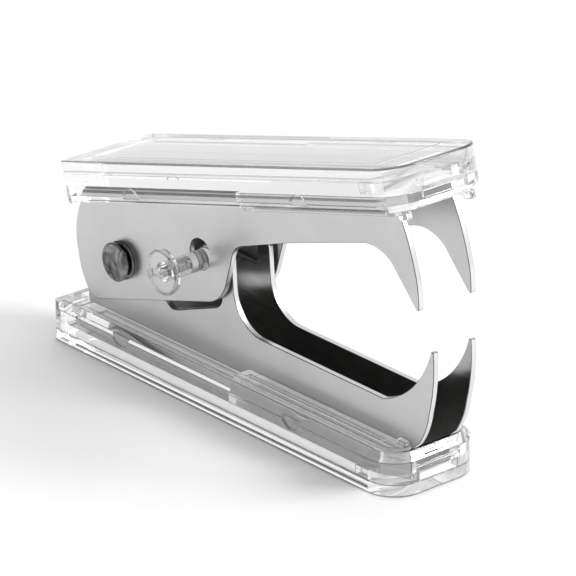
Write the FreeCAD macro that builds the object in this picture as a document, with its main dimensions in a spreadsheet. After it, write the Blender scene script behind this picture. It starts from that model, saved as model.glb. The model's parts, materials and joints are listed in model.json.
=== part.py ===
import FreeCAD, Part
import math
import os
import Sketcher
from FreeCAD import Placement, Rotation, Vector

# Jaw-type staple remover with clear covers and a push-in lock pin. Millimetres.
# The frame's origin is the middle of the lower cover's resting face: +X points to the
# fangs, +Z is up, and the lock pin sticks out on the -Y side.
# Both jaws are folded steel channels that turn about one pivot pin along Y. The jaws are
# drawn about that pin, as they lie when closed, and the upper half is then swung open.

SIZES = {
    # covers: both are the same mouldings, cut for a narrower or a wider channel
    "cover_length": 85.0,
    "cover_width": 19.8,
    "cover_height": 7.2,
    "cap_thickness": 2.3,
    "cap_margin_side": 2.8,
    "cap_margin_front": 7.0,
    "cap_margin_rear": 4.5,
    "groove_width": 0.45,
    "groove_depth": 0.3,
    "front_corner_radius": 5.5,
    "rear_corner_radius": 1.2,
    "edge_round": 0.35,
    "rim_bevel": 1.3,
    "rear_land": 1.6,
    "deck_drop": 0.6,
    "rim_width": 1.9,
    "rear_wall": 1.0,
    "front_wall": 1.4,
    "clip_start": 44.8,
    "clip_floor": 3.4,
    "clip_rise": 0.7,
    "clip_corner_radius": 3.6,
    "clip_bridge": 0.85,
    "clip_bridge_top": 6.2,
    "clip_groove_width": 0.9,
    "clip_groove_depth": 0.6,
    "lug_length": 2.0,
    "lug_width": 1.1,
    "lug_top": 8.6,
    "seam_gap": 0.05,
    "front_window_width": 8.0,
    "front_window_low": 2.3,
    "front_window_high": 3.9,
    "front_slot_width": 9.0,
    "front_slot_low": 4.7,
    "front_slot_high": 5.7,
    "front_slot_depth": 0.7,
    "side_window_start": 76.6,
    "side_window_end": 79.4,
    "side_window_depth": 1.3,
    "catch_radius": 2.1,
    "catch_depth": 0.4,
    "catch_foot": 0.8,
    "catch_near_front": 61.0,
    "catch_near_rear": 18.0,
    # hinge and opening
    "pivot_from_rear": 14.05,
    "pivot_height": 17.7,
    "upper_setback": 6.8,
    "open_angle": 15.5,
    # jaws
    "sheet": 1.0,
    "fold_radius": 1.1,
    "web_clearance": 0.05,
    "outer_web_depth": 4.7,
    "outer_jaw_width": 11.9,
    "inner_jaw_width": 8.9,
    "ear_radius": 12.2,
    "ear_drop": 7.0,
    "ear_drop_front": 6.3,
    "ear_top": 4.1,
    "post_rear": 23.3,
    "fang_front": 74.1,
    # pivot pin set
    "pin_radius": 1.6,
    "pin_fit": 0.05,
    "pivot_head_radius": 3.35,
    "pivot_head_thickness": 0.5,
    "pivot_flange_thickness": 0.4,
    "pivot_neck_radius": 2.5,
    "pivot_neck_length": 1.35,
    "spacer_radius": 3.6,
    "spacer_thickness": 0.4,
    # return spring
    "wire_radius": 0.35,
    "coil_radius": 2.45,
    "coil_pitch": 0.78,
    "coil_turns": 4.0,
    "arm_turns": 0.75,
    "leg_length": 19.9,
    # lock pin
    "lock_reach": 21.5,
    "lock_lift": 0.8,
    "lock_shaft_radius": 1.7,
    "lock_knob_radius": 3.9,
    "lock_knob_thickness": 1.3,
    "lock_knob_standoff": 7.2,
    "lock_flange_radius": 2.0,
    "lock_flange_thickness": 0.3,
    "lock_bore_radius": 1.0,
    "lock_bore_depth": 5.6,
    "lock_slot_width": 1.2,
    "lock_slot_depth": 0.7,
    "keyhole_radius": 2.6,
    "keyhole_rise": 0.95,
    "lock_window_radius": 2.5,
    "lock_window_run": 10.1,
    "lock_window_fall": 3.7,
    "lock_window_drop": 0.2,
}

doc = FreeCAD.newDocument("StapleRemover")
sheet = doc.addObject("Spreadsheet::Sheet", "Sizes")
for row, (alias, amount) in enumerate(SIZES.items(), start=1):
    sheet.set(f"A{row}", alias)
    sheet.set(f"B{row}", str(amount))
    sheet.setAlias(f"B{row}", alias)
doc.recompute()


def cell(formula):
    """The formula with each size's name written as its cell of the sheet."""
    words = []
    word = ""
    for letter in str(formula) + " ":
        if letter.isalnum() or letter == "_":
            word += letter
            continue
        words.append("Sizes." + word if word in SIZES else word)
        words.append(letter)
        word = ""
    return "".join(words).strip()


def number(formula):
    """What a formula in the sheet's sizes comes to, in millimetres or degrees."""
    return float(sheet.evalExpression(cell(formula)))


def new_body(label, placement):
    body = doc.addObject("PartDesign::Body", label)
    body.Label = label
    body.Placement = placement
    return body


def new_sketch(body, name, role, offset="0"):
    """An empty sketch on one of the body's own origin planes, moved along the plane's normal."""
    sketch = body.newObject("Sketcher::SketchObject", name)
    plane = [item for item in body.Origin.OriginFeatures if item.Role == role][0]
    sketch.AttachmentSupport = [(plane, "")]
    sketch.MapMode = "FlatFace"
    sketch.AttachmentOffset = Placement(Vector(0, 0, number(offset)), Rotation())
    if number(offset) != 0:
        sketch.setExpression("AttachmentOffset.Base.z", cell(offset))
    return sketch


def fix_point(sketch, geometry, end, across, up):
    """Ties one point of the sketch to its place from the sketch's origin."""
    for kind, formula in (("DistanceX", across), ("DistanceY", up)):
        constraint = Sketcher.Constraint(kind, -1, 1, geometry, end, number(formula))
        index = sketch.addConstraint(constraint)
        sketch.setExpression(f"Constraints[{index}]", cell(formula))


def fix_radius(sketch, geometry, formula):
    index = sketch.addConstraint(Sketcher.Constraint("Radius", geometry, number(formula)))
    sketch.setExpression(f"Constraints[{index}]", cell(formula))


def arc_between(start, end, radius):
    """The short arc of the given radius, drawn counterclockwise. A negative radius bulges to
    the right of the way from start to end, which is the counterclockwise way round."""
    chord = end - start
    half = chord.Length / 2
    left = Vector(-chord.y, chord.x, 0).normalize()
    inset = (radius * radius - half * half) ** 0.5
    centre = (start + end) / 2 + left * (inset if radius < 0 else -inset)
    first, last = (start, end) if radius < 0 else (end, start)
    angles = [math.atan2(spot.y - centre.y, spot.x - centre.x) for spot in (first, last)]
    return Part.ArcOfCircle(Part.Circle(centre, Vector(0, 0, 1), abs(radius)), *angles)


def outline(sketch, corners):
    """A closed outline. Each corner is (across, up) or (across, up, radius of the arc that
    leaves it, positive where the arc bulges to the left)."""
    spots = [Vector(number(corner[0]), number(corner[1]), 0) for corner in corners]
    count = len(corners)
    ends = []
    for index, corner in enumerate(corners):
        start = spots[index]
        end = spots[(index + 1) % count]
        if len(corner) == 2:
            geometry = sketch.addGeometry(Part.LineSegment(start, end))
            ends.append((geometry, 1, 2))
            continue
        radius = number(corner[2])
        geometry = sketch.addGeometry(arc_between(start, end, radius))
        ends.append((geometry, 1, 2) if radius < 0 else (geometry, 2, 1))
    for index in range(count):
        geometry, _, last = ends[index]
        following, first, _ = ends[(index + 1) % count]
        sketch.addConstraint(Sketcher.Constraint("Coincident", geometry, last, following, first))
    for index, corner in enumerate(corners):
        geometry, first, _ = ends[index]
        fix_point(sketch, geometry, first, corner[0], corner[1])
        if len(corner) == 3:
            fix_radius(sketch, geometry, f"abs({corner[2]})")


def rectangle(sketch, left, bottom, right, top):
    outline(sketch, [(left, bottom), (right, bottom), (right, top), (left, top)])


def circle(sketch, across, up, radius):
    centre = Vector(number(across), number(up), 0)
    geometry = sketch.addGeometry(Part.Circle(centre, Vector(0, 0, 1), number(radius)))
    fix_point(sketch, geometry, 3, across, up)
    fix_radius(sketch, geometry, radius)


def pad(body, sketch, length, side="One side", backwards=False):
    feature = body.newObject("PartDesign::Pad", sketch.Name + "Pad")
    feature.Profile = sketch
    feature.SideType = side
    feature.Reversed = backwards
    feature.setExpression("Length", cell(length))
    doc.recompute()
    return feature


def pocket(body, sketch, length, side="One side", backwards=False):
    """Cuts the sketch's shape out and stops if nothing was removed."""
    before = body.Tip.Shape.Volume
    feature = body.newObject("PartDesign::Pocket", sketch.Name + "Pocket")
    feature.Profile = sketch
    feature.SideType = side
    feature.Reversed = backwards
    feature.setExpression("Length", cell(length))
    doc.recompute()
    if feature.Shape.Volume > before - 1e-3:
        raise RuntimeError(f"{body.Label}: {feature.Name} cuts nothing")
    return feature


def revolve(body, sketch):
    """Turns the sketch's shape all the way round the sketch's own horizontal axis."""
    feature = body.newObject("PartDesign::Revolution", sketch.Name + "Turn")
    feature.Profile = sketch
    feature.ReferenceAxis = (sketch, ["H_Axis"])
    feature.Angle = 360
    doc.recompute()
    return feature


def dress(body, kind, label, test, formula):
    """Fillets or chamfers the edges of the body that pass the test."""
    base = body.Tip
    names = [f"Edge{i}" for i, edge in enumerate(base.Shape.Edges, start=1) if test(edge)]
    if not names:
        raise RuntimeError(f"{body.Label}: no edges for {label}")
    feature = body.newObject("PartDesign::" + kind, label)
    feature.Base = (base, names)
    feature.setExpression("Radius" if kind == "Fillet" else "Size", cell(formula))
    doc.recompute()
    return feature


def runs_along(edge, axis, **places):
    """True for a straight edge along the axis whose middle has the given coordinates."""
    if edge.Curve.TypeId != "Part::GeomLine":
        return False
    direction = edge.tangentAt(edge.FirstParameter)
    if abs(abs(getattr(direction, axis)) - 1) > 1e-6:
        return False
    middle = edge.CenterOfMass
    return all(abs(getattr(middle, name) - place) < 1e-3 for name, place in places.items())


# ---------------------------------------------------------------------------- placements

pivot = Vector(number("pivot_from_rear - cover_length / 2"), 0, number("pivot_height"))
swing = Rotation(Vector(0, -1, 0), number("open_angle"))
lower_frame = Placement(pivot, Rotation())
upper_frame = Placement(pivot, swing)
lower_cover_frame = lower_frame.multiply(
    Placement(Vector(number("-pivot_from_rear"), 0, number("-pivot_height")), Rotation())
)
upper_cover_frame = upper_frame.multiply(
    Placement(
        Vector(number("upper_setback - pivot_from_rear"), 0, number("pivot_height")),
        Rotation(Vector(1, 0, 0), 180),
    )
)


# ---------------------------------------------------------------------------- covers
# A cover is drawn from its rear end, with its outer face at height 0 and the jaw rising
# from it. The upper one is the same moulding turned over.

HALF_WIDTH = "cover_width / 2"


def round_corners(body, label, place, radius):
    """Rounds the two upright corners at one end of a cover."""
    half = number(HALF_WIDTH)

    def at_corner(edge):
        return runs_along(edge, "z", x=place, y=half) or runs_along(edge, "z", x=place, y=-half)

    dress(body, "Fillet", label, at_corner, radius)


def on_face_border(edge, height):
    """True for an edge of the outer wall at the given height."""
    box = edge.BoundBox
    half = number(HALF_WIDTH)
    length = number("cover_length")
    level = abs(box.ZMin - height) < 1e-3 and abs(box.ZMax - height) < 1e-3
    outside = (
        box.YMax > half - 1e-3 or box.YMin < 1e-3 - half or box.XMax > length - 1e-3 or box.XMin < 1e-3
    )
    return level and outside


def cover_cap(label, frame):
    """The clear outer plate, with a fine groove round its flat outer face like a picture frame."""
    body = new_body(label, frame)
    plate = new_sketch(body, "Plate", "XY_Plane")
    rectangle(plate, "0", f"-{HALF_WIDTH}", "cover_length", HALF_WIDTH)
    pad(body, plate, "cap_thickness - seam_gap")
    round_corners(body, "FrontCorners", number("cover_length"), "front_corner_radius")
    round_corners(body, "RearCorners", 0, "rear_corner_radius")
    groove = new_sketch(body, "Groove", "XY_Plane")
    for inset in ("0", "groove_width"):
        rectangle(
            groove,
            f"cap_margin_rear + {inset}",
            f"cap_margin_side + {inset} - {HALF_WIDTH}",
            f"cover_length - cap_margin_front - {inset}",
            f"{HALF_WIDTH} - cap_margin_side - {inset}",
        )
    pocket(body, groove, "groove_depth", backwards=True)
    dress(body, "Fillet", "OuterEdge", lambda edge: on_face_border(edge, 0), "edge_round")
    return body


def cover_frame(label, frame, jaw_width, seat, clip_seat):
    """The clear block around the channel: a bevelled rim, a deck, and a recess for the clip.
    The jaw's web lies at the seat and the clip's arms at the clip seat."""
    body = new_body(label, frame)
    block = new_sketch(body, "Block", "XY_Plane", "cap_thickness")
    rectangle(block, "0", f"-{HALF_WIDTH}", "cover_length", HALF_WIDTH)
    pad(body, block, "cover_height - cap_thickness")
    round_corners(body, "FrontCorners", number("cover_length"), "front_corner_radius")

    def on_rim(edge):
        return on_face_border(edge, number("cover_height")) and edge.BoundBox.XMax > 1e-3

    dress(body, "Chamfer", "RimBevel", on_rim, "rim_bevel")
    land = new_sketch(body, "RearLand", "XY_Plane", "cap_thickness")
    rectangle(land, "0", f"-{HALF_WIDTH}", "rear_land", HALF_WIDTH)
    pad(body, land, "cover_height - cap_thickness")
    round_corners(body, "RearCorners", 0, "rear_corner_radius")

    deck = new_sketch(body, "Deck", "XY_Plane", "cover_height")
    side = f"({HALF_WIDTH} - rim_width)"
    rectangle(deck, "rear_wall + rim_width", f"-{side}", "clip_start", side)
    pocket(body, deck, "deck_drop")

    recess = new_sketch(body, "ClipRecess", "XY_Plane", "cover_height")
    front = "cover_length - front_wall"
    corner = "clip_corner_radius"
    outline(
        recess,
        [
            ("clip_start", f"-{side}"),
            (f"{front} - {corner}", f"-{side}", f"-{corner}"),
            (front, f"{corner} - {side}"),
            (front, f"{side} - {corner}", f"-{corner}"),
            (f"{front} - {corner}", side),
            ("clip_start", side),
        ],
    )
    pocket(body, recess, f"cover_height - ({clip_seat})")

    channel = new_sketch(body, "Channel", "XY_Plane", "cover_height")
    reach = f"{jaw_width} / 2 + seam_gap"
    rectangle(channel, "rear_wall", f"-({reach})", "cover_length - front_wall - clip_bridge", reach)
    pocket(body, channel, f"cover_height - ({seat})")

    window = new_sketch(body, "FrontWindow", "YZ_Plane", "cover_length")
    rectangle(
        window,
        "-front_window_width / 2",
        "front_window_low",
        "front_window_width / 2",
        "front_window_high",
    )
    pocket(body, window, "front_wall + clip_bridge + 0.5")
    slot = new_sketch(body, "FrontSlot", "YZ_Plane", "cover_length")
    rectangle(
        slot, "-front_slot_width / 2", "front_slot_low", "front_slot_width / 2", "front_slot_high"
    )
    pocket(body, slot, "front_slot_depth")

    for name, offset, backwards in (("Near", HALF_WIDTH, False), ("Far", f"-{HALF_WIDTH}", True)):
        pane = new_sketch(body, name + "SideWindow", "XZ_Plane", offset)
        rectangle(
            pane, "side_window_start", "front_window_low", "side_window_end", "front_window_high"
        )
        pocket(body, pane, "side_window_depth", backwards=backwards)
        for place in ("catch_near_front", "catch_near_rear"):
            catch = new_sketch(body, name + place, "XZ_Plane", offset)
            foot = "cover_height - catch_foot"
            outline(
                catch,
                [
                    (f"{place} - catch_radius", foot),
                    (f"{place} + catch_radius", foot, "catch_radius * 1.001"),
                ],
            )
            pocket(body, catch, "catch_depth", backwards=backwards)
    return body


def cover_clip(label, frame, jaw_width, clip_seat):
    """The clear U-shaped clip that holds the channel's front in the cover."""
    body = new_body(label, frame)
    arms = new_sketch(body, "Arms", "XY_Plane", f"{clip_seat} + seam_gap")
    side = f"({HALF_WIDTH} - rim_width - seam_gap)"
    front = "(cover_length - front_wall - seam_gap)"
    corner = "(clip_corner_radius - seam_gap)"
    inner = f"({jaw_width} / 2 + seam_gap)"
    rear = "(clip_start + seam_gap)"
    bridge = "(cover_length - front_wall - clip_bridge)"
    outline(
        arms,
        [
            (rear, f"-{side}"),
            (f"{front} - {corner}", f"-{side}", f"-{corner}"),
            (front, f"{corner} - {side}"),
            (front, f"{side} - {corner}", f"-{corner}"),
            (f"{front} - {corner}", side),
            (rear, side),
            (rear, inner),
            (bridge, inner),
            (bridge, f"-{inner}"),
            (rear, f"-{inner}"),
        ],
    )
    pad(body, arms, f"cover_height + clip_rise - ({clip_seat}) - seam_gap")

    gap = new_sketch(body, "BridgeTop", "XY_Plane", "cover_height + clip_rise")
    rectangle(gap, f"{bridge} - 0.5", f"-{inner}", "cover_length", inner)
    pocket(body, gap, "cover_height + clip_rise - clip_bridge_top")

    for name, sign in (("Near", "-1"), ("Far", "1")):
        groove = new_sketch(body, name + "Groove", "XY_Plane", "cover_height + clip_rise")
        centre = f"{sign} * ({side} + {inner}) / 2"
        rectangle(
            groove,
            f"{rear} + 1.5",
            f"{centre} - clip_groove_width / 2",
            f"{front} - {corner} - 1",
            f"{centre} + clip_groove_width / 2",
        )
        pocket(body, groove, "clip_groove_depth")
        lug = new_sketch(body, name + "Lug", "XY_Plane", "cover_height")
        outer_side = f"{sign} * ({inner} + lug_width)"
        inner_side = f"{sign} * {inner}"
        rectangle(lug, f"{front} - lug_length - 0.3", inner_side, f"{front} - 0.3", outer_side)
        pad(body, lug, "lug_top - cover_height")
    return body


# ---------------------------------------------------------------------------- jaws

INNER_WEB = "(pivot_height - cap_thickness - web_clearance)"
OUTER_WEB = "(pivot_height - outer_web_depth)"
FACE = "(pivot_height - cover_height)"


def fold(label, frame, width, corners, web, sign):
    """A steel channel: the side outline as wide as the jaw, hollowed out behind its web, which
    is that far from the pivot. sign is 1 for the upper jaw and -1 for the lower one."""
    body = new_body(label, frame)
    side = new_sketch(body, "SideOutline", "XZ_Plane")
    outline(side, corners)
    pad(body, side, width, side="Symmetric")
    fold_height = number(f"{sign} * {web}")
    half = number(f"{width} / 2")

    def folded(edge):
        near = runs_along(edge, "x", y=-half, z=fold_height)
        return near or runs_along(edge, "x", y=half, z=fold_height)

    dress(body, "Fillet", "Folds", folded, "fold_radius")
    hollow = new_sketch(body, "Hollow", "XZ_Plane")
    rectangle(
        hollow,
        "-2 * ear_radius",
        f"-1 * {sign} * 2 * {web}",
        "fang_front + ear_radius",
        f"{sign} * ({web} - sheet)",
    )
    pocket(body, hollow, f"{width} - 2 * sheet", side="Symmetric")
    bore = new_sketch(body, "PivotBore", "XZ_Plane")
    circle(bore, "0", "0", "pin_radius + pin_fit")
    pocket(body, bore, "2 * cover_width", side="Symmetric")
    return body


def upper_jaw():
    """The outer channel, with the rounded ear around the pivot and curved fangs."""
    width = "outer_jaw_width"
    web_rear = "(upper_setback - pivot_from_rear + rear_wall + 0.15)"
    corners = [
        (f"{web_rear} + 2.2", OUTER_WEB),
        (web_rear, f"{FACE} - 0.15"),
        (f"{web_rear} - 1.8", f"{FACE} - 0.15", "-ear_radius * 1.05"),
        ("0.3 - ear_radius", "0.8", "-ear_radius"),
        ("0.9 - ear_radius", "-4.6", "-3.2"),
        ("4.2 - ear_radius", "-ear_drop"),
        ("21.6", "-ear_drop_front", "-6.5"),
        ("26.9", "-2.9"),
        ("29.3", "0.9", "3.8"),
        ("32.6", "3.3"),
        ("44.7", "4.25"),
        ("62.2", "4.85", "7.6"),
        ("69.2", "1.7"),
        ("fang_front - 1.1", "-5.5"),
        ("fang_front - 0.6", "-5.6", "-18"),
        ("fang_front + 0.1", "0.6", "-40"),
        ("fang_front - 1.1", "9.8"),
        ("fang_front - 1.9", OUTER_WEB),
    ]
    body = fold("upper_jaw", upper_frame, width, corners, OUTER_WEB, 1)
    # A keyhole in the near ear: the pin's flange enters by the large round, and its shaft
    # sits in the small one.
    keyhole = new_sketch(body, "KeyholeEntry", "XZ_Plane", f"{width} / 2")
    circle(keyhole, "lock_reach", "lock_lift + keyhole_rise", "keyhole_radius")
    pocket(body, keyhole, "sheet")
    seat = new_sketch(body, "KeyholeSeat", "XZ_Plane", f"{width} / 2")
    circle(seat, "lock_reach", "lock_lift", "lock_shaft_radius + pin_fit")
    pocket(body, seat, "sheet")
    return body


def lower_jaw():
    """The inner channel, with an ear inside the upper jaw's and upturned fangs."""
    width = "inner_jaw_width"
    web_rear = "(1.2 - ear_radius)"
    corners = [
        (web_rear, f"-{INNER_WEB}"),
        ("fang_front - 5.2", f"-{INNER_WEB}"),
        ("fang_front - 5.2", "-11.0"),
        ("fang_front - 3.0", "-9.0", "-14"),
        ("fang_front - 0.7", "-3.0", "-30"),
        ("fang_front", "7.4"),
        ("fang_front - 0.5", "7.5", "16.5"),
        ("62.8", "-4.0"),
        ("33.6", "-3.8", "7.2"),
        ("26.7", "2.6"),
        ("26.3", "7.8", "-1.6"),
        ("post_rear + 0.2", "7.8"),
        ("post_rear", "ear_top"),
        ("-6.5", "ear_top", "-7.2"),
        (web_rear, "-3"),
    ]
    body = fold("lower_jaw", lower_frame, width, corners, INNER_WEB, -1)
    # The window in the near wall that the lock pin enters once the jaws are closed.
    window = new_sketch(body, "LockWindow", "XZ_Plane", f"{width} / 2")
    run = number("lock_window_run")
    fall = number("lock_window_fall")
    slope = (run * run + fall * fall) ** 0.5
    step_across = f"lock_window_radius * {fall / slope}"
    step_up = f"lock_window_radius * {run / slope}"
    far_end = "(lock_reach - lock_window_run)"
    near_level = "(lock_lift - lock_window_drop)"
    far_level = f"({near_level} - lock_window_fall)"
    round_end = "-lock_window_radius * 1.0005"
    outline(
        window,
        [
            (f"{far_end} + {step_across}", f"{far_level} - {step_up}"),
            (f"lock_reach + {step_across}", f"{near_level} - {step_up}", round_end),
            (f"lock_reach - {step_across}", f"{near_level} + {step_up}"),
            (f"{far_end} - {step_across}", f"{far_level} + {step_up}", round_end),
        ],
    )
    pocket(body, window, "sheet")
    return body


# ---------------------------------------------------------------------------- pivot pin set
# Turned parts are drawn in the XY plane of a body whose X axis is then laid along the
# hinge axis, -X being the near side.

ALONG_HINGE = Placement(pivot, Rotation(Vector(0, 0, 1), 90))
OUTER_FACE = "(outer_jaw_width / 2)"


def turned(label, frame, corners):
    """A piece turned about its local X axis from the outline (along, radius)."""
    body = new_body(label, frame)
    profile = new_sketch(body, "Profile", "XY_Plane")
    outline(profile, corners)
    revolve(body, profile)
    return body


def ring(label, frame, start, end, inner, outer):
    return turned(label, frame, [(start, inner), (end, inner), (end, outer), (start, outer)])


def pivot_pin():
    reach = f"({OUTER_FACE} + pivot_neck_length + pivot_head_thickness * 0.6)"
    return turned(
        "pivot_pin",
        ALONG_HINGE,
        [
            (f"-{reach}", "0"),
            (reach, "0"),
            (reach, "pin_radius - 0.3"),
            (f"{reach} - 0.3", "pin_radius"),
            (f"0.3 - {reach}", "pin_radius"),
            (f"-{reach}", "pin_radius - 0.3"),
        ],
    )


def pivot_cap(label, sign):
    """A push-on cap like a spool: a flange against the ear, a neck and a thin round head."""
    inner = f"{sign} * ({OUTER_FACE} + 0.05)"
    flange = f"{sign} * ({OUTER_FACE} + 0.05 + pivot_flange_thickness)"
    neck = f"{sign} * ({OUTER_FACE} + pivot_neck_length)"
    head = f"{sign} * ({OUTER_FACE} + pivot_neck_length + pivot_head_thickness)"
    floor = f"{sign} * ({OUTER_FACE} + pivot_neck_length + pivot_head_thickness * 0.65)"
    return turned(
        label,
        ALONG_HINGE,
        [
            (inner, "pin_radius + 0.01"),
            (inner, "pivot_head_radius"),
            (flange, "pivot_head_radius"),
            (flange, "pivot_neck_radius"),
            (neck, "pivot_neck_radius"),
            (neck, "pivot_head_radius"),
            (f"{head} - {sign} * 0.15", "pivot_head_radius"),
            (head, "pivot_head_radius - 0.15"),
            (head, "0"),
            (floor, "0"),
            (floor, "pin_radius + 0.01"),
        ],
    )


def spacer(label, sign):
    """A thin washer that keeps the ears apart and central."""
    middle = f"{sign} * (outer_jaw_width / 2 - sheet + inner_jaw_width / 2) / 2"
    return ring(
        label,
        ALONG_HINGE,
        f"{middle} - spacer_thickness / 2",
        f"{middle} + spacer_thickness / 2",
        "pin_radius + pin_fit",
        "spacer_radius",
    )


# ---------------------------------------------------------------------------- return spring

def wound(label, turns, first_place, leg_angle, leg_last, frame):
    """Round wire swept along a helix about the hinge axis and one straight leg that runs on
    along its tangent, before the helix or after it. Part::Feature is used here because one
    sweep follows both. leg_angle is where on the coil the leg leaves it."""
    coil_radius = number("coil_radius")
    height = number("coil_pitch") * turns
    helix = Part.makeHelix(number("coil_pitch"), height, coil_radius)
    turned_by = math.radians(360 * turns if leg_last else 0)
    across, up = math.cos(turned_by), math.sin(turned_by)
    joint = Vector(coil_radius * across, coil_radius * up, height if leg_last else 0)
    tangent = Vector(-up, across, number("coil_pitch") / (2 * math.pi * coil_radius)).normalize()
    reach = tangent * number("leg_length")
    if leg_last:
        path = helix.Edges + [Part.LineSegment(joint, joint + reach).toShape()]
        begin = Vector(coil_radius, 0, 0)
        heading = Vector(0, 1, tangent.z)
    else:
        path = [Part.LineSegment(joint - reach, joint).toShape()] + helix.Edges
        begin = joint - reach
        heading = tangent
    section = Part.Wire(Part.makeCircle(number("wire_radius"), begin, heading))
    around = Rotation(Vector(0, 0, 1), leg_angle - math.degrees(turned_by))
    feature = doc.addObject("Part::Feature", label)
    feature.Label = label
    feature.Shape = Part.Wire(path).makePipeShell([section], True, True)
    feature.Placement = frame.multiply(Placement(Vector(0, 0, first_place), around))
    return feature


def leg_lean(web):
    """How steeply a leg leaves the coil so that its tip just reaches the inside of the web."""
    coil_radius = number("coil_radius")
    leg = number("leg_length")
    level = number(f"{web} - sheet - wire_radius - 0.12")
    return math.degrees(math.asin(level / math.hypot(leg, coil_radius)) - math.atan2(coil_radius, leg))


def return_spring():
    """The coil with the leg that pushes on the lower jaw's web, and the end turn with the
    leg that pushes on the upper jaw's web."""
    # Local Z lies along the hinge axis, -Z being the near side; local X stays along the jaws.
    lay = Rotation(Vector(1, 0, 0), -90)
    span = number("coil_pitch * (coil_turns + 1)")
    lower = wound(
        "return_spring",
        number("coil_turns"),
        -span / 2,
        90.0 + leg_lean(INNER_WEB),
        False,
        Placement(pivot, lay),
    )
    upper = wound(
        "return_spring_arm",
        number("arm_turns"),
        span / 2,
        -90.0 - leg_lean(OUTER_WEB),
        True,
        Placement(pivot, swing.multiply(lay)),
    )
    return [lower, upper]


# ---------------------------------------------------------------------------- lock pin

def lock_pin():
    """A clear moulded push pin: a thin slotted disc, a long shaft, and a flange behind the ear."""
    spot = upper_frame.multiply(
        Placement(Vector(number("lock_reach"), 0, number("lock_lift")), Rotation(Vector(0, 0, 1), 90))
    )
    face = f"(-{OUTER_FACE})"
    rear = f"({face} - lock_knob_standoff)"
    front = f"({rear} - lock_knob_thickness)"
    flange = f"({face} + sheet + 0.05)"
    tail = f"({flange} + lock_flange_thickness)"
    body = turned(
        "lock_pin",
        spot,
        [
            (front, "lock_bore_radius"),
            (f"{front} + lock_bore_depth", "lock_bore_radius"),
            (f"{front} + lock_bore_depth + 0.6", "0"),
            (tail, "0"),
            (tail, "lock_flange_radius"),
            (flange, "lock_flange_radius"),
            (flange, "lock_shaft_radius"),
            (rear, "lock_shaft_radius"),
            (rear, "lock_knob_radius - 0.3"),
            (f"{rear} - 0.3", "lock_knob_radius"),
            (f"{front} + 0.5", "lock_knob_radius", "-0.5"),
            (front, "lock_knob_radius - 0.5"),
        ],
    )
    slot = new_sketch(body, "DriverSlot", "YZ_Plane", front)
    half_length = "lock_knob_radius * 0.75"
    half_width = "lock_slot_width / 2"
    rectangle(slot, f"-{half_length}", f"-{half_width}", half_length, half_width)
    pocket(body, slot, "lock_slot_depth", backwards=True)
    return body


# ---------------------------------------------------------------------------- build and write

parts = [lower_jaw(), upper_jaw()]
outer_seat = "outer_web_depth - web_clearance"
for prefix, frame, width, seat, clip_seat in (
    ("lower", lower_cover_frame, "inner_jaw_width", "cap_thickness", "clip_floor"),
    ("upper", upper_cover_frame, "outer_jaw_width", outer_seat, outer_seat),
):
    parts.append(cover_cap(prefix + "_cover_cap", frame))
    parts.append(cover_frame(prefix + "_cover_frame", frame, width, seat, clip_seat))
    parts.append(cover_clip(prefix + "_cover_clip", frame, width, clip_seat))
parts.append(pivot_pin())
for suffix, sign in (("near", "-1"), ("far", "1")):
    parts.append(pivot_cap("pivot_cap_" + suffix, sign))
    parts.append(spacer("pivot_spacer_" + suffix, sign))
parts.extend(return_spring())
parts.append(lock_pin())
doc.recompute()

for item in doc.Objects:
    if {"Invalid", "Error"} & set(item.State):
        raise RuntimeError(f"{item.Label} failed: {item.State}")

os.makedirs("parts", exist_ok=True)
for part in parts:
    shape = part.Shape
    if shape.isNull() or not shape.isValid():
        raise RuntimeError(f"{part.Label} has no valid shape")
    shape.exportStep(f"parts/{part.Label}.step")
    box = shape.BoundBox
    print(
        f"{part.Label:20s} solids {len(shape.Solids)} volume {shape.Volume:8.1f}"
        f"  x {box.XMin:6.2f} {box.XMax:6.2f}  y {box.YMin:6.2f} {box.YMax:6.2f}"
        f"  z {box.ZMin:6.2f} {box.ZMax:6.2f}"
    )
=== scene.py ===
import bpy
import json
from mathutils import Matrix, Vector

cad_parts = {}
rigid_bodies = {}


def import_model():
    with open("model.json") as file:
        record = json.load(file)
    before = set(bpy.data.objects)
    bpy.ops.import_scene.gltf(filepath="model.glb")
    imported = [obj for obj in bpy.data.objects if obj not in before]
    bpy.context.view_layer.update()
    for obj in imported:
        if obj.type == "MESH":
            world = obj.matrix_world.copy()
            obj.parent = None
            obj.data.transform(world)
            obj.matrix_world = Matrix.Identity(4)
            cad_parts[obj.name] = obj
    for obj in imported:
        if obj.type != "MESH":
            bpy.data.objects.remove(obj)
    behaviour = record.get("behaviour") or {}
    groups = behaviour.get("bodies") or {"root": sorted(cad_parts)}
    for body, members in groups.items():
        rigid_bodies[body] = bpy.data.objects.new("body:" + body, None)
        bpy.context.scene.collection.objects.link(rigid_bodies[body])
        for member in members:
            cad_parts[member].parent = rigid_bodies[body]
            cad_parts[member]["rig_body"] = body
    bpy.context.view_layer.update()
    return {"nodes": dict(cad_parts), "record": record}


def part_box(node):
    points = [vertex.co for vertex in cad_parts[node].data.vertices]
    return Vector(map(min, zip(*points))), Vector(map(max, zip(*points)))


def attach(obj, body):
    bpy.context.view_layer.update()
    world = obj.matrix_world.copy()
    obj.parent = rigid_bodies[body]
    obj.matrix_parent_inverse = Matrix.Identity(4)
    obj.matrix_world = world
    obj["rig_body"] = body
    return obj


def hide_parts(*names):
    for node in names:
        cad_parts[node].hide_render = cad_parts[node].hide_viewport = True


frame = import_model()

import json
import math

import bmesh
import bpy
from mathutils import Vector

MM = 0.001

# ---------------------------------------------------------------------------- node helpers

def new_material(name):
    """An empty node material, and its node tree with only an output."""
    material = bpy.data.materials.new(name)
    material.use_nodes = True
    tree = material.node_tree
    tree.nodes.clear()
    output = tree.nodes.new("ShaderNodeOutputMaterial")
    return material, tree, output


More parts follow.
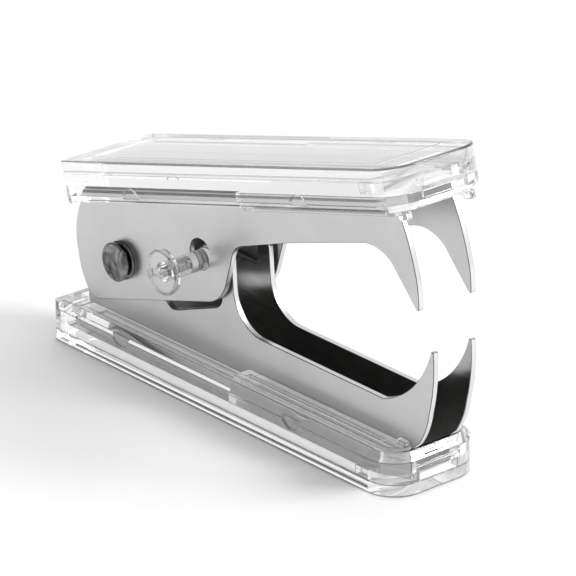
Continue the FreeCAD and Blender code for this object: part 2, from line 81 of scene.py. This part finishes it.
def add(tree, kind, **values):
    """A node with plain values set on its own properties."""
    made = tree.nodes.new(kind)
    for key, value in values.items():
        setattr(made, key, value)
    return made


def join(tree, source, target):
    """Links one node's output to another's input."""
    tree.links.new(source, target)


EVEN = (1.0, 1.0, 1.0)
MILL_GRAIN = (60.0, 900.0, 900.0)
MOULD_FLOW = (40.0, 160.0, 160.0)


def object_space(tree, scale):
    """Object coordinates stretched by scale along each axis."""
    place = add(tree, "ShaderNodeTexCoord")
    mapping = add(tree, "ShaderNodeMapping")
    mapping.inputs["Scale"].default_value = scale
    join(tree, place.outputs["Object"], mapping.inputs["Vector"])
    return mapping.outputs["Vector"]


def noise(tree, vector, scale, detail=3.0, rough=0.5, swirl=0.0):
    """Noise over the vector, stirred round by swirl."""
    made = add(tree, "ShaderNodeTexNoise")
    made.inputs["Distortion"].default_value = swirl
    made.inputs["Scale"].default_value = scale
    made.inputs["Detail"].default_value = detail
    made.inputs["Roughness"].default_value = rough
    join(tree, vector, made.inputs["Vector"])
    return made.outputs["Fac"]


# Noise seldom leaves this band, so it's the band that is spread over a wanted range.
NOISE_LOW = 0.3
NOISE_HIGH = 0.7


def remap(tree, source, low, high):
    """Noise spread over low to high."""
    made = add(tree, "ShaderNodeMapRange")
    made.inputs["From Min"].default_value = NOISE_LOW
    made.inputs["From Max"].default_value = NOISE_HIGH
    made.inputs["To Min"].default_value = low
    made.inputs["To Max"].default_value = high
    join(tree, source, made.inputs["Value"])
    return made.outputs["Result"]


def blend_colours(tree, factor, first, second):
    """The first colour where the factor is 0 and the second where it is 1."""
    made = add(tree, "ShaderNodeMix", data_type="RGBA")
    made.inputs["A"].default_value = (*first, 1.0)
    made.inputs["B"].default_value = (*second, 1.0)
    join(tree, factor, made.inputs["Factor"])
    return made.outputs["Result"]


def bump(tree, height, strength, distance):
    """A normal tilted by the slope of a height."""
    made = add(tree, "ShaderNodeBump")
    made.inputs["Strength"].default_value = strength
    made.inputs["Distance"].default_value = distance
    join(tree, height, made.inputs["Height"])
    return made.outputs["Normal"]


# ---------------------------------------------------------------------------- materials

RIPPLE_DEPTH = 0.4 * MM
FLOW_DEPTH = 0.3 * MM


def polished_steel(name, light, dark, rough_low, rough_high, wave, patch=140.0, swirl=0.0):
    """Bright metal: long faint mill grain, slight waviness, and light and dark patches."""
    material, tree, output = new_material(name)
    surface = add(tree, "ShaderNodeBsdfPrincipled")
    surface.inputs["Metallic"].default_value = 1.0
    grain = noise(tree, object_space(tree, MILL_GRAIN), 4.0, 4.0, 0.6)
    # On the pivot caps these patches are painted reflection; on the other steel they are tone that
    # differs at random.
    smudge_and_reflection = noise(tree, object_space(tree, EVEN), patch, 3.0, 0.5, swirl)
    ripple = noise(tree, object_space(tree, EVEN), 55.0, 1.0, 0.4)
    spread = remap(tree, smudge_and_reflection, 0.0, 1.0)
    join(tree, blend_colours(tree, spread, light, dark), surface.inputs["Base Color"])
    join(tree, remap(tree, grain, rough_low, rough_high), surface.inputs["Roughness"])
    join(tree, bump(tree, ripple, wave, RIPPLE_DEPTH), surface.inputs["Normal"])
    join(tree, surface.outputs["BSDF"], output.inputs["Surface"])
    return material


# Light that has bounced about this often inside the clear plastic is let straight out.
TRAPPED_AFTER = 6.0
ACRYLIC_IOR = 1.49
# What is left of a lamp's light behind one wall of clear plastic.
LAMP_SHADE = (0.93, 0.935, 0.935)


def mix_shaders(tree, factor, first, second):
    """The first shader where the factor is 0 and the second where it is 1."""
    made = add(tree, "ShaderNodeMixShader")
    join(tree, factor, made.inputs["Fac"])
    join(tree, first, made.inputs[1])
    join(tree, second, made.inputs[2])
    return made.outputs["Shader"]


def clear_plastic(name, tint, rough, wave):
    """Polished clear moulding: it bends light, has faint flow lines, and lets lamps through."""
    material, tree, output = new_material(name)
    glass = add(tree, "ShaderNodeBsdfPrincipled")
    glass.inputs["Base Color"].default_value = (*tint, 1.0)
    glass.inputs["Transmission Weight"].default_value = 1.0
    glass.inputs["IOR"].default_value = ACRYLIC_IOR
    flow = noise(tree, object_space(tree, MOULD_FLOW), 1.5, 2.0, 0.5)
    scuff = noise(tree, object_space(tree, EVEN), 700.0, 3.0, 0.6)
    join(tree, remap(tree, scuff, rough * 0.3, rough), glass.inputs["Roughness"])
    join(tree, bump(tree, flow, wave, FLOW_DEPTH), glass.inputs["Normal"])
    path = add(tree, "ShaderNodeLightPath")
    trapped = add(tree, "ShaderNodeMath", operation="GREATER_THAN")
    trapped.inputs[1].default_value = TRAPPED_AFTER
    join(tree, path.outputs["Ray Depth"], trapped.inputs[0])
    released = add(tree, "ShaderNodeBsdfTransparent")
    released.inputs["Color"].default_value = (1.0, 1.0, 1.0, 1.0)
    seen = mix_shaders(tree, trapped.outputs[0], glass.outputs["BSDF"], released.outputs["BSDF"])
    passing = add(tree, "ShaderNodeBsdfTransparent")
    passing.inputs["Color"].default_value = (*LAMP_SHADE, 1.0)
    lit = mix_shaders(tree, path.outputs["Is Shadow Ray"], seen, passing.outputs["BSDF"])
    join(tree, lit, output.inputs["Surface"])
    return material


def nylon(name):
    """Natural white plastic with a fine moulded grain."""
    material, tree, output = new_material(name)
    surface = add(tree, "ShaderNodeBsdfPrincipled")
    surface.inputs["Subsurface Weight"].default_value = 0.1
    grain = noise(tree, object_space(tree, EVEN), 900.0, 4.0, 0.6)
    colour = blend_colours(tree, grain, (0.84, 0.83, 0.8), (0.76, 0.75, 0.72))
    join(tree, colour, surface.inputs["Base Color"])
    join(tree, remap(tree, grain, 0.4, 0.6), surface.inputs["Roughness"])
    join(tree, surface.outputs["BSDF"], output.inputs["Surface"])
    return material


JAW = polished_steel("jaw_steel", (0.665, 0.665, 0.66), (0.625, 0.625, 0.622), 0.3, 0.38, 0.12)
# Painted shade: darker steel for the lower jaw's channel, for the shade and dark reflections between
# its walls.
INSIDE_PAINTED_SHADE = polished_steel("jaw_inside_painted_shade", (0.56, 0.56, 0.55), (0.38, 0.38, 0.375), 0.16, 0.24, 0.12)
# Painted shade: near-black steel on the jaws' rounded edges, for the dark lines that reflections draw
# there.
SHEET_EDGE_PAINTED_SHADE = polished_steel("sheet_edge_painted_shade", (0.16, 0.16, 0.16), (0.10, 0.10, 0.10), 0.12, 0.2, 0.1)
# Painted reflection: near-black, swirled patches on the pivot caps, for the dark reflections on their
# polished heads.
CAP_PAINTED_REFLECTION = polished_steel(
    "cap_steel", (0.32, 0.32, 0.32), (0.004, 0.004, 0.004), 0.05, 0.14, 0.5, patch=260.0, swirl=2.2
)
PIN = polished_steel("pin_steel", (0.62, 0.62, 0.62), (0.5, 0.5, 0.5), 0.15, 0.3, 0.1)
WIRE = polished_steel("spring_steel", (0.55, 0.55, 0.56), (0.42, 0.42, 0.43), 0.2, 0.35, 0.1)
COVER = clear_plastic("cover_clear", (0.985, 0.99, 0.99), 0.02, 0.006)
CLIP = clear_plastic("clip_clear", (0.98, 0.975, 0.97), 0.02, 0.04)
KNOB = clear_plastic("lock_clear", (0.985, 0.985, 0.98), 0.02, 0.04)
# Painted shade: dark clear plastic on the rounded borders of the covers, clip and lock knob, for the
# dark lines that refraction draws there.
RIM_PAINTED_SHADE = clear_plastic("clear_rim_painted_shade", (0.10, 0.10, 0.104), 0.02, 0.0)
LOCK_RIM_PAINTED_SHADE = clear_plastic("lock_rim_painted_shade", (0.42, 0.42, 0.42), 0.02, 0.0)
NYLON = nylon("spacer_plastic")

LOOKS = {
    "jaw_steel": JAW,
    "cap_steel": CAP_PAINTED_REFLECTION,
    "pin_steel": PIN,
    "spring_steel": WIRE,
    "cover_clear": COVER,
    "clip_clear": CLIP,
    "lock_clear": KNOB,
    "spacer_plastic": NYLON,
}

# Rolled-over and rounded borders look darker than the faces that they join; that darkness is painted
# shade, a dark finish for the lines that reflection and refraction draw there.
PAINTED_EDGE_SHADE = {JAW: SHEET_EDGE_PAINTED_SHADE, COVER: RIM_PAINTED_SHADE, CLIP: RIM_PAINTED_SHADE, KNOB: LOCK_RIM_PAINTED_SHADE}

# ---------------------------------------------------------------------------- edges

SAME_POINT = 0.002 * MM
SAME_PLANE = math.radians(0.6)


def flat_faces_joined(source, name):
    """The node's own shape as a new mesh with each flat face whole again."""
    work = bmesh.new()
    work.from_mesh(source.data)
    bmesh.ops.remove_doubles(work, verts=work.verts, dist=SAME_POINT)
    bmesh.ops.dissolve_limit(
        work,
        angle_limit=SAME_PLANE,
        use_dissolve_boundaries=False,
        verts=work.verts,
        edges=work.edges,
    )
    mesh = bpy.data.meshes.new(name)
    work.to_mesh(mesh)
    work.free()
    for layer in ("custom_normal", "sharp_edge", "sharp_face"):
        if layer in mesh.attributes:
            mesh.attributes.remove(mesh.attributes[layer])
    return mesh


SHARP_EDGE = math.radians(32.0)
BEVEL_STEPS = 3


def soften(piece, width):
    """Rounds every sharp edge in the piece's last finish, the painted edge shade, and keeps its flat
    faces shaded flat.
    """
    piece.data.shade_smooth()
    bevel = piece.modifiers.new("soft_edges", "BEVEL")
    bevel.width = width
    bevel.segments = BEVEL_STEPS
    bevel.limit_method = "ANGLE"
    bevel.angle_limit = SHARP_EDGE
    bevel.use_clamp_overlap = True
    # The bevel's strips get the last finish: painted edge shade.
    bevel.material = len(piece.data.materials) - 1
    flat = piece.modifiers.new("flat_faces", "WEIGHTED_NORMAL")
    flat.mode = "FACE_AREA"
    flat.weight = 100
    graph = bpy.context.evaluated_depsgraph_get()
    mesh = bpy.data.meshes.new_from_object(piece.evaluated_get(graph))
    piece.modifiers.clear()
    piece.data = mesh


# Faces narrower than this are the strips that make up a rounded border.
ROUND_STRIP = 0.12 * MM


def paint_shade_on_rounds(mesh):
    """Gives the rounded borders the last finish in the list: the painted edge shade."""
    for face in mesh.polygons:
        around = sum(
            (mesh.vertices[first].co - mesh.vertices[second].co).length
            for first, second in face.edge_keys
        )
        if 2 * face.area / around < ROUND_STRIP:
            face.material_index = len(mesh.materials) - 1


# The upper half is swung open by this at rest. Each direction points from a frame to its cap.
OPEN_ANGLE = math.radians(15.5)
CAP_SIDE = {
    "lower_cover_frame": Vector((0.0, 0.0, -1.0)),
    "upper_cover_frame": Vector((-math.sin(OPEN_ANGLE), 0.0, math.cos(OPEN_ANGLE))),
}

# This crosses the 0.05 mm seam between frame and cap.
WELD_DEPTH = 0.08 * MM
ON_THE_FACE = 0.01 * MM


def weld_to_cap(mesh, outward):
    """Sinks a frame's mating face a hair into its cap, so that light passes straight between."""
    reach = max(vertex.co.dot(outward) for vertex in mesh.vertices)
    for vertex in mesh.vertices:
        if vertex.co.dot(outward) > reach - ON_THE_FACE:
            vertex.co += outward * WELD_DEPTH


# How far each finish rounds its sharp edges. The rest keep the CAD node's own edges.
EDGE_WIDTHS = {
    "cover_clear": 0.2 * MM,
    "clip_clear": 0.16 * MM,
    "lock_clear": 0.16 * MM,
    "jaw_steel": 0.1 * MM,
}


def refine(part):
    """Stands a piece with moulded or rolled-over edges in for a CAD node."""
    node = part["node"]
    slot = part["material_slot"]
    source = frame["nodes"][node]
    name = node + "_finished"
    piece = bpy.data.objects.new(name, flat_faces_joined(source, name))
    bpy.context.scene.collection.objects.link(piece)
    piece.data.materials.clear()
    piece.data.materials.append(LOOKS[slot])
    piece.data.materials.append(PAINTED_EDGE_SHADE[LOOKS[slot]])
    if node in CAP_SIDE:
        weld_to_cap(piece.data, CAP_SIDE[node])
    paint_shade_on_rounds(piece.data)
    soften(piece, EDGE_WIDTHS[slot])
    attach(piece, source["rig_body"])
    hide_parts(node)
    return piece


SHEET = 1.0 * MM
# A little less than the sheet, so that faces right at its surface still count as inside.
SKIN = 0.9 * SHEET
# The cosine of the angle within which a face counts as facing a direction.
FACING = 0.9


def paint_shade_inside(piece, node):
    """Gives the channel's inner faces a darker steel of their own: painted shade between the
    channel's walls.
    """
    low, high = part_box(node)
    inner = high.y - SKIN
    floor = low.z + SKIN
    piece.data.materials.append(INSIDE_PAINTED_SHADE)
    for face in piece.data.polygons:
        if abs(face.center.y) > inner or face.center.z < floor:
            continue
        wall = abs(face.normal.y) > FACING
        web = face.normal.z > FACING and face.center.z < floor + SHEET
        if wall or web:
            face.material_index = len(piece.data.materials) - 1


# The pivot caps: the steps around, the thicknesses of flange, head and dome, the softened edges,
# and the neck's and the dome's share of the radius.
SPOOL_STEPS = 72
SPOOL_FLANGE = 0.4 * MM
SPOOL_HEAD = 0.5 * MM
SPOOL_DOME = 0.16 * MM
SPOOL_SOFT = 0.09 * MM
SPOOL_NECK_SHARE = 0.74
DOME_SHARE = 0.955
DOME_RINGS = 9
# A ring closer to the axis than this is a single point.
ON_AXIS = 0.01 * MM
SPOOL_CREASE = math.radians(50.0)


def spool_profile(radius, length):
    """(along, out) points from the flange's middle to the top of the head's dome."""
    neck = SPOOL_NECK_SHARE * radius
    head = length - SPOOL_HEAD
    shoulder = length - SPOOL_DOME
    profile = [
        (0.0, 0.0),
        (0.0, radius - SPOOL_SOFT),
        (SPOOL_SOFT, radius),
        (SPOOL_FLANGE - SPOOL_SOFT, radius),
        (SPOOL_FLANGE, radius - SPOOL_SOFT),
        (SPOOL_FLANGE + SPOOL_SOFT, neck),
        (head - SPOOL_SOFT, neck),
        (head, radius - SPOOL_SOFT),
        (head + SPOOL_SOFT, radius),
        (shoulder - SPOOL_SOFT, radius),
    ]
    for step in range(DOME_RINGS + 1):
        angle = step / DOME_RINGS * math.pi / 2
        out = DOME_SHARE * radius * math.cos(angle)
        profile.append((shoulder + SPOOL_DOME * math.sin(angle), out))
    return profile


def turned_along_y(name, profile, centre, root, side):
    """A mesh turned about an axis along Y through the centre. It starts at root and grows to side."""
    work = bmesh.new()
    loops = []
    for along, out in profile:
        loop = []
        for turn in range(SPOOL_STEPS if out > ON_AXIS else 1):
            angle = 2 * math.pi * turn / SPOOL_STEPS
            place = (
                centre.x + out * math.cos(angle),
                root + side * along,
                centre.z + out * math.sin(angle),
            )
            loop.append(work.verts.new(place))
        loops.append(loop)
    for first, second in zip(loops, loops[1:]):
        for turn in range(SPOOL_STEPS):
            corners = [
                first[turn % len(first)],
                first[(turn + 1) % len(first)],
                second[(turn + 1) % len(second)],
                second[turn % len(second)],
            ]
            distinct = list(dict.fromkeys(corners))
            if len(distinct) > 2:
                work.faces.new(distinct)
    bmesh.ops.recalc_face_normals(work, faces=work.faces)
    mesh = bpy.data.meshes.new(name)
    work.to_mesh(mesh)
    work.free()
    return mesh


def spool(part):
    """Stands a turned pivot cap in for its CAD node: a flange, a neck and a gently domed head."""
    node = part["node"]
    low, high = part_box(node)
    centre = (low + high) / 2
    side = 1.0 if centre.y > 0 else -1.0
    root = low.y if side > 0 else high.y
    profile = spool_profile((high.x - low.x) / 2, high.y - low.y)
    name = node + "_spool"
    mesh = turned_along_y(name, profile, centre, root, side)
    mesh.shade_smooth()
    mesh.set_sharp_from_angle(angle=SPOOL_CREASE)
    mesh.materials.append(CAP_PAINTED_REFLECTION)
    piece = bpy.data.objects.new(name, mesh)
    bpy.context.scene.collection.objects.link(piece)
    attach(piece, frame["nodes"][node]["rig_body"])
    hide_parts(node)


for part in frame["record"]["subparts"]:
    slot = part["material_slot"]
    if slot == "cap_steel":
        spool(part)
        continue
    if slot in EDGE_WIDTHS:
        refined = refine(part)
        # The lower jaw's channel is painted darker, as painted shade.
        if part["node"] == "lower_jaw":
            paint_shade_inside(refined, part["node"])
        continue
    node = frame["nodes"][part["node"]]
    node.data.materials.clear()
    node.data.materials.append(LOOKS[slot])


# ---------------------------------------------------------------------------- floor, light, camera

def plain_material(name, colour, rough):
    """An even finish, for the floor."""
    material, tree, output = new_material(name)
    surface = add(tree, "ShaderNodeBsdfPrincipled")
    surface.inputs["Base Color"].default_value = (*colour, 1.0)
    surface.inputs["Roughness"].default_value = rough
    join(tree, surface.outputs["BSDF"], output.inputs["Surface"])
    return material


FLOOR_REACH = 3.0
FLOOR_GAP = 0.02 * MM


def make_floor():
    """A wide pale sheet just under the object."""
    reach = FLOOR_REACH
    mesh = bpy.data.meshes.new("floor")
    corners = [(-reach, -reach, 0), (reach, -reach, 0), (reach, reach, 0), (-reach, reach, 0)]
    mesh.from_pydata(corners, [], [(0, 1, 2, 3)])
    floor = bpy.data.objects.new("floor", mesh)
    bpy.context.scene.collection.objects.link(floor)
    floor.location.z = -FLOOR_GAP
    mesh.materials.append(plain_material("floor_white", (0.89, 0.89, 0.89), 0.6))


def area_light(name, place, target, side, power):
    """A white square lamp at place that points at the target."""
    data = bpy.data.lights.new(name, "AREA")
    data.shape = "SQUARE"
    data.size = side
    data.energy = power
    lamp = bpy.data.objects.new(name, data)
    bpy.context.scene.collection.objects.link(lamp)
    lamp.location = place
    way = Vector(target) - Vector(place)
    lamp.rotation_euler = way.to_track_quat("-Z", "Y").to_euler()


# The studio's dark side: its direction, and how far from it the dark ends and begins.
DARK_SIDE = (-0.70, -0.65, 0.30)
DARK_OUTER = math.radians(55.0)
DARK_INNER = math.radians(25.0)


def make_world(strength, shade):
    """A white studio with one soft dark side, which gives the clear plastic its dark lines."""
    world = bpy.data.worlds.new("studio")
    bpy.context.scene.world = world
    world.use_nodes = True
    tree = world.node_tree
    tree.nodes.clear()
    output = tree.nodes.new("ShaderNodeOutputWorld")
    back = tree.nodes.new("ShaderNodeBackground")
    place = add(tree, "ShaderNodeTexCoord")
    toward = add(tree, "ShaderNodeVectorMath", operation="DOT_PRODUCT")
    toward.inputs[1].default_value = Vector(DARK_SIDE).normalized()
    join(tree, place.outputs["Generated"], toward.inputs[0])
    fade = add(tree, "ShaderNodeMapRange", interpolation_type="SMOOTHSTEP")
    fade.inputs["From Min"].default_value = math.cos(DARK_OUTER)
    fade.inputs["From Max"].default_value = math.cos(DARK_INNER)
    fade.inputs["To Min"].default_value = strength
    fade.inputs["To Max"].default_value = shade
    join(tree, toward.outputs["Value"], fade.inputs["Value"])
    join(tree, fade.outputs["Result"], back.inputs["Strength"])
    back.inputs["Color"].default_value = (1.0, 1.0, 1.0, 1.0)
    join(tree, back.outputs["Background"], output.inputs["Surface"])


CAMERA_AZIMUTH = math.radians(49.1)
CAMERA_ELEVATION = math.radians(23.0)
CAMERA_DISTANCE = 690.6 * MM
CAMERA_TARGET = Vector((6.57, 0.0, 22.23)) * MM
CAMERA_LENS = 269.5


def make_camera():
    """The scene's camera. Its azimuth is measured from -Y towards +X."""
    out = Vector(
        (
            math.sin(CAMERA_AZIMUTH) * math.cos(CAMERA_ELEVATION),
            -math.cos(CAMERA_AZIMUTH) * math.cos(CAMERA_ELEVATION),
            math.sin(CAMERA_ELEVATION),
        )
    )
    data = bpy.data.cameras.new("camera")
    data.sensor_width = 36.0
    data.lens = CAMERA_LENS
    data.clip_start = 0.01
    camera = bpy.data.objects.new("camera", data)
    bpy.context.scene.collection.objects.link(camera)
    camera.location = CAMERA_TARGET + out * CAMERA_DISTANCE
    camera.rotation_euler = (-out).to_track_quat("-Z", "Y").to_euler()
    bpy.context.scene.camera = camera


KEY_PLACE = (0.42, 0.34, 0.42)
KEY_TARGET = (0.0, 0.0, 0.02)
KEY_SIDE = 0.22
KEY_POWER = 2.9
WORLD_STRENGTH = 0.99
DARK_STRENGTH = 0.3

make_floor()
make_world(WORLD_STRENGTH, DARK_STRENGTH)
area_light("key", KEY_PLACE, KEY_TARGET, KEY_SIDE, KEY_POWER)
make_camera()
scene = bpy.context.scene
scene.view_settings.view_transform = "Standard"
scene.cycles.max_bounces = 24
scene.cycles.transmission_bounces = 20
scene.cycles.transparent_max_bounces = 24
scene.cycles.glossy_bounces = 10
